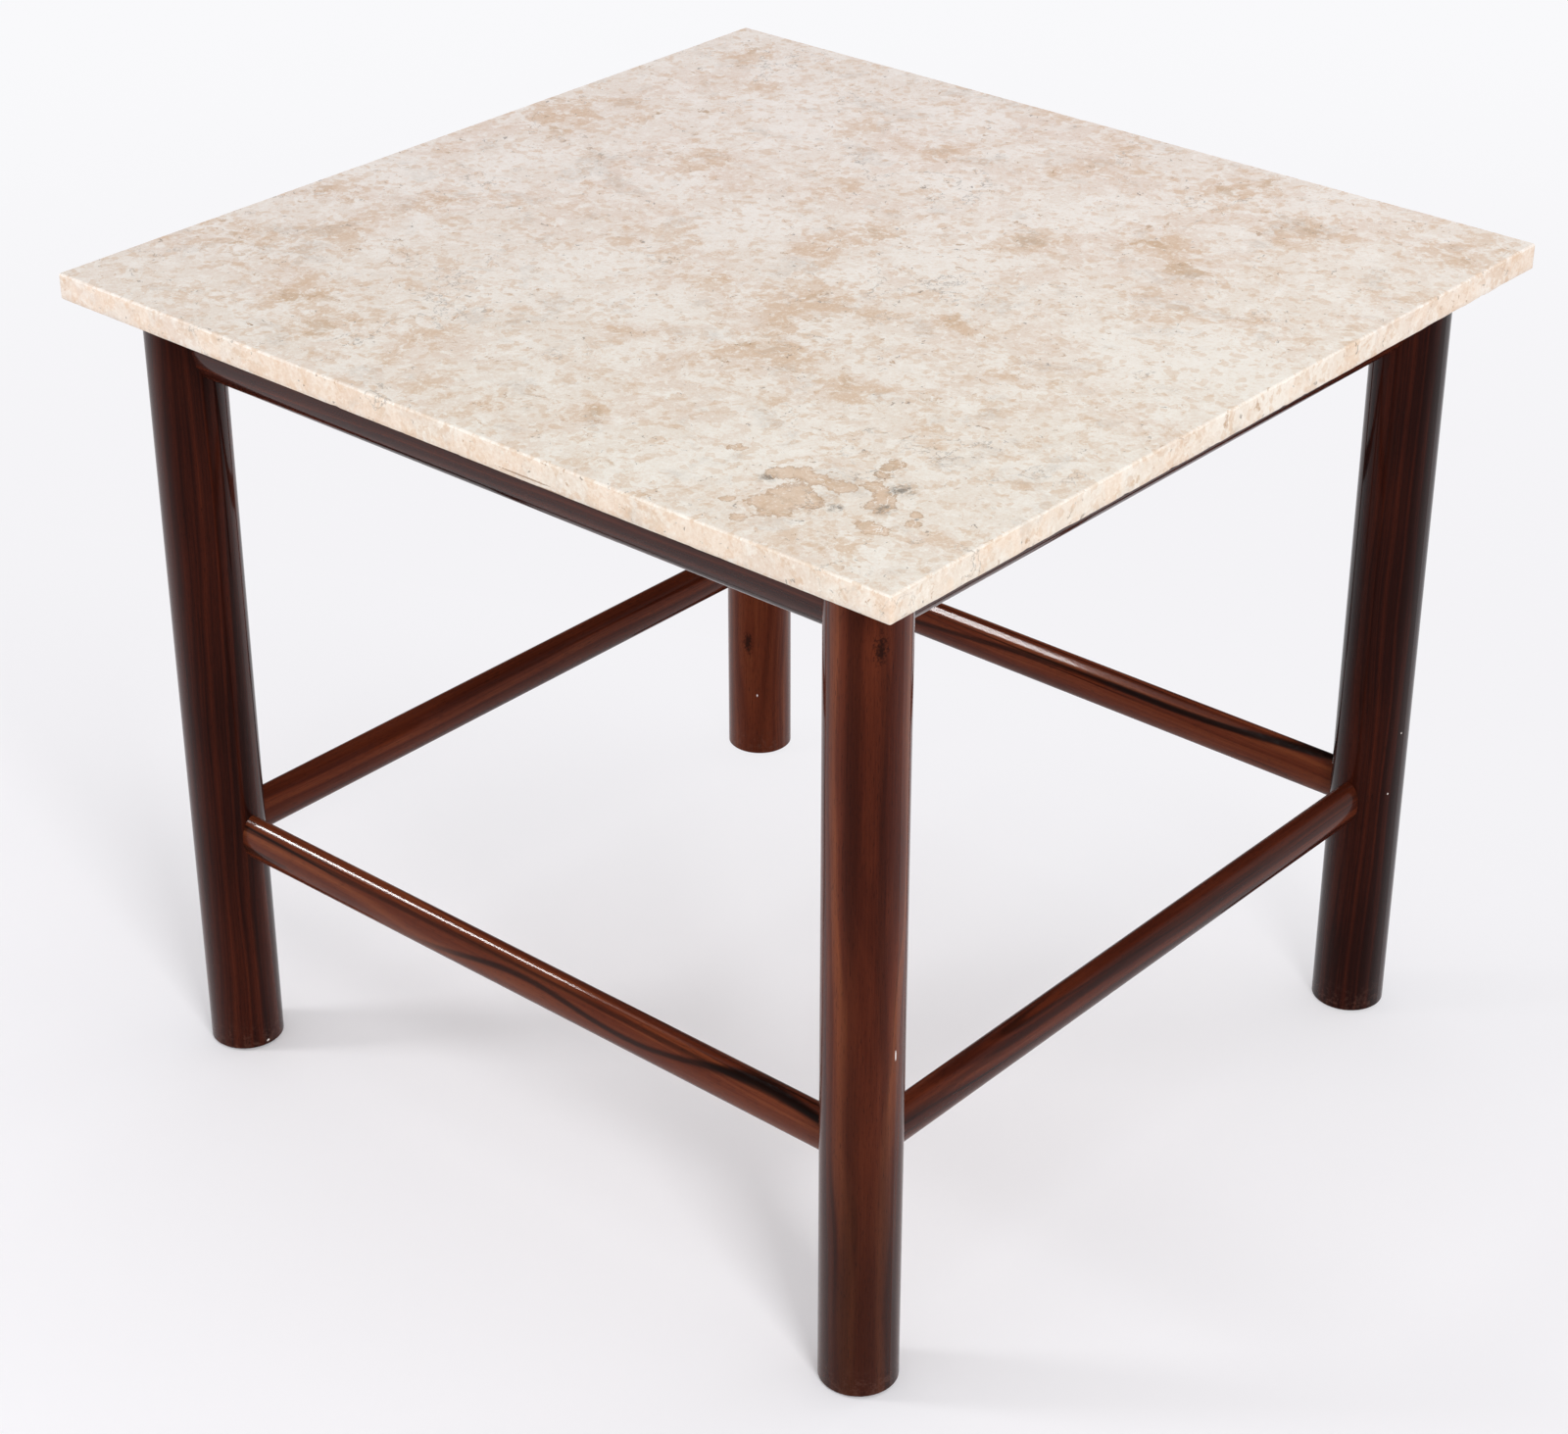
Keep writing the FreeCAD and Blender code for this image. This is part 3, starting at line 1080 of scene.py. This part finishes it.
def pad_profile(radius, low, high):
    """Radius and height along the pad's rim, from the middle of the top to the middle below."""
    rim = (high - low) * RIM_SHARE
    profile = [(radius / 2, high)]
    for quarter, pivot in enumerate((high - rim, low + rim)):
        for step in range(RIM_STEPS + 1):
            turn = math.pi / 2 * (quarter + step / RIM_STEPS)
            profile.append((radius - rim + rim * math.sin(turn), pivot + rim * math.cos(turn)))
    profile.append((radius / 2, low))
    return profile


def build_pad(node, material):
    low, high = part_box(node)
    centre = (low + high) / 2
    profile = pad_profile((high.x - low.x) / 2, low.z, high.z)
    shape = bmesh.new()
    columns = []
    for step in range(PAD_STEPS):
        turn = 2 * math.pi * step / PAD_STEPS
        across = Vector((math.cos(turn), math.sin(turn), 0.0))
        column = []
        for radius, height in profile:
            column.append(shape.verts.new(Vector((centre.x, centre.y, height)) + across * radius))
        columns.append(column)
    skin(shape, columns)
    for face in shape.faces:
        face.smooth = True
    pad = place_mesh(shape, node + "_disc", material)
    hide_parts(node)
    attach(pad, "base")
    return pad


print("a pad's rim has", len(pad_profile(0.028, 0.0, 0.0015)), "points")

# %% Pad finishes
def finish_pad(name, fine, broad, broad_share, stops, roughness, bump):
    """A fine noise makes the surface, and a broad one makes patches in it."""
    material, shader = new_material(name)
    point = put("TexCoord").outputs["Object"]
    grain = clouds(point, *fine)
    patches = clouds(point, *broad)
    shade = times(grain, 1.0 - broad_share)
    shade = times(patches, broad_share, shade)
    feed(shader["Base Color"], shades(shade, stops))
    feed(shader["Roughness"], times(grain, *roughness))
    emboss(shader, grain, *bump)
    return material


FELT_SHADES = ((0.30, paint(30, 25, 23)), (0.70, paint(66, 56, 50)))
RUBBER_SHADES = ((0.35, paint(28, 27, 27)), (0.70, paint(58, 56, 54)))
felt = finish_pad(
    "felt", (1400.0, 5.0, 0.75), (240.0, 4.0, 0.65), 0.4, FELT_SHADES, (0.20, 0.78), (0.8, 0.0004)
)
rubber = finish_pad(
    "cushion_rubber", (900.0, 4.0, 0.70), (70.0, 4.0, 0.60), 0.6, RUBBER_SHADES, (0.25, 0.50), (0.4, 0.0003)
)
pads = []
for corner in ("front_right", "front_left", "back_right", "back_left"):
    pads.append(build_pad("foot_pad_" + corner, felt))
    pads.append(build_pad("top_pad_" + corner, rubber))
print("pads made:", len(pads))

# %% [markdown]
# ## Floor and surroundings
#
# The table stands on a wide white sheet. A matt floor keeps the soft shadows of the feet, but one
# that is bright enough to look white everywhere would flood the table with light. So an emission
# that only the camera and reflections see takes over towards the back, as painted light that lifts
# the table's shadow there, and further out, where it fades into the surroundings. From below the
# sheet is clear, so the underside can be looked at.

# %% Floor
FLOOR_WHITE = paint(244, 243, 246)
FAR_WHITE = paint(249, 249, 251)
FLOOR_RADIUS = 16.0
FLOOR_STEPS = 96
FLOOR_MATT = paint(241, 240, 243)
FLOOR_GLOW = 0.12
AWAY = (-0.368, 0.930, 0.0)
LIFT_STARTS, LIFT_ENDS = -0.22, 0.65
FADE_STARTS, FADE_ENDS = 0.9, 3.2

sheet, shader = new_material("floor_sheet")
nodes = sheet.node_tree.nodes
shader["Base Color"].default_value = FLOOR_MATT
shader["Roughness"].default_value = 0.9
shader["Specular IOR Level"].default_value = 0.0
point = put("TexCoord").outputs["Object"]
distance = rise(vector_calc("LENGTH", point), FADE_STARTS, FADE_ENDS)
glow = put("Emission")
feed(glow.inputs["Color"], tint(distance, FLOOR_WHITE, FAR_WHITE))
rays = put("LightPath").outputs
seen = calc("ADD", rays["Is Camera Ray"], rays["Is Glossy Ray"])
seen = calc("MAXIMUM", seen, rays["Is Transmission Ray"])
# Painted light: the glow takes over towards the back, which lifts the table's shadow on the sheet there
painted_light_behind = rise(vector_calc("DOT_PRODUCT", point, AWAY), LIFT_STARTS, LIFT_ENDS)
fade_and_painted_light = calc("MAXIMUM", distance, painted_light_behind)
share = times(seen, times(fade_and_painted_light, 1.0 - FLOOR_GLOW, FLOOR_GLOW))
blend = put("MixShader")
feed(blend.inputs[0], share)
feed(blend.inputs[1], nodes["Principled BSDF"].outputs[0])
feed(blend.inputs[2], glow.outputs[0])
clear = put("MixShader")
feed(clear.inputs[0], put("NewGeometry").outputs["Backfacing"])
feed(clear.inputs[1], blend.outputs[0])
feed(clear.inputs[2], put("BsdfTransparent").outputs[0])
feed(nodes["Material Output"].inputs["Surface"], clear.outputs[0])

shape = bmesh.new()
bmesh.ops.create_circle(shape, cap_ends=True, segments=FLOOR_STEPS, radius=FLOOR_RADIUS)
floor = place_mesh(shape, "floor", sheet)
print("floor faces up:", floor.data.polygons[0].normal.z > 0)

# %% [markdown]
# The room round the sheet gives a low even light. The camera sees it white. Reflections see it
# white near the horizon, where the sheet goes on, and dark higher up, as a studio with its ceiling
# lights off: polished wood looks deep and red only when there is something dark for it to mirror.

# %% Surroundings
AMBIENT = (0.68, 0.68, 0.69, 1.0)
DARK_ROOM = (0.07, 0.07, 0.075, 1.0)

world = bpy.data.worlds.new("studio")
world.use_nodes = True
bpy.context.scene.world = world
bench.append(world.node_tree)
background = world.node_tree.nodes["Background"].inputs
rays = put("LightPath").outputs
mirrored = calc("MAXIMUM", rays["Is Glossy Ray"], rays["Is Transmission Ray"])
height = axes(put("TexCoord").outputs["Generated"])[2]
room = tint(rise(height, 0.05, 0.32), FAR_WHITE, DARK_ROOM)
colour = tint(mirrored, AMBIENT, room)
feed(background["Color"], tint(rays["Is Camera Ray"], colour, FAR_WHITE))
background["Strength"].default_value = 1.0
bpy.context.scene.view_settings.view_transform = "Standard"
print("view transform", bpy.context.scene.view_settings.view_transform)

# %% [markdown]
# ## Lamps
#
# The feet show where the lamps stood: each throws one shadow to the back left and one to the right.
# So the key lamp stands to the right of the camera and lights both visible sides of the slab, and a
# smaller lamp stands to the left of it. A weak lamp behind the table evens out the slab's face.
#
# The front and back stretchers mirror the left lamp as thin white lines. Polish mirrors only a small
# part of the light, so these lines come out weak. Two brighter panels that only reflections see draw
# them, and light linking gives each stretcher its own panel, cut to the length of its line.

# %% Lamps
def hang_lamp(name, place, target, width, height, watts):
    """A rectangular lamp that points at a target."""
    lamp = bpy.data.lights.new(name, "AREA")
    lamp.shape = "RECTANGLE"
    lamp.size = width
    lamp.size_y = height
    lamp.energy = watts
    holder = bpy.data.objects.new(name, lamp)
    holder.location = place
    holder.rotation_euler = (Vector(target) - Vector(place)).to_track_quat("-Z", "Y").to_euler()
    holder.visible_camera = False
    bpy.context.collection.objects.link(holder)
    return holder


key_lamp = hang_lamp("key_lamp", (3.40, -2.10, 2.85), (0.0, 0.0, 0.6), 1.1, 1.1, 100.0)
left_lamp = hang_lamp("left_lamp", (-2.25, -2.15, 1.60), (0.0, 0.0, 0.4), 0.6, 0.6, 30.0)
back_lamp = hang_lamp("back_lamp", (0.90, 2.20, 2.40), (0.0, 0.0, 0.7), 2.0, 1.5, 8.0)
back_lamp.visible_glossy = False
# For each stretcher: the middle of its panel, the panel's width and height, and its power
GLINTS = {
    "stretcher_front": ((-1.58, -1.56, 1.40), 0.85, 0.42, 200.0),
    "stretcher_back": ((-1.46, -1.36, 1.45), 0.50, 1.30, 400.0),
}


def hang_glint(piece, place, width, height, watts):
    """A lamp that only the reflections on one bar see, and that nothing else can hide."""
    low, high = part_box(piece)
    middle = (low + high) / 2
    panel = hang_lamp("glint_" + piece, place, (place[0], middle.y, middle.z), width, height, watts)
    panel.visible_diffuse = False
    lit = bpy.data.collections.new("mirrors_" + piece)
    lit.objects.link(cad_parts[piece])
    panel.light_linking.receiver_collection = lit
    panel.light_linking.blocker_collection = lit
    return panel


glints = [hang_glint(piece, *values) for piece, values in GLINTS.items()]
print("lamps", key_lamp.name, left_lamp.name, back_lamp.name, [panel.name for panel in glints])
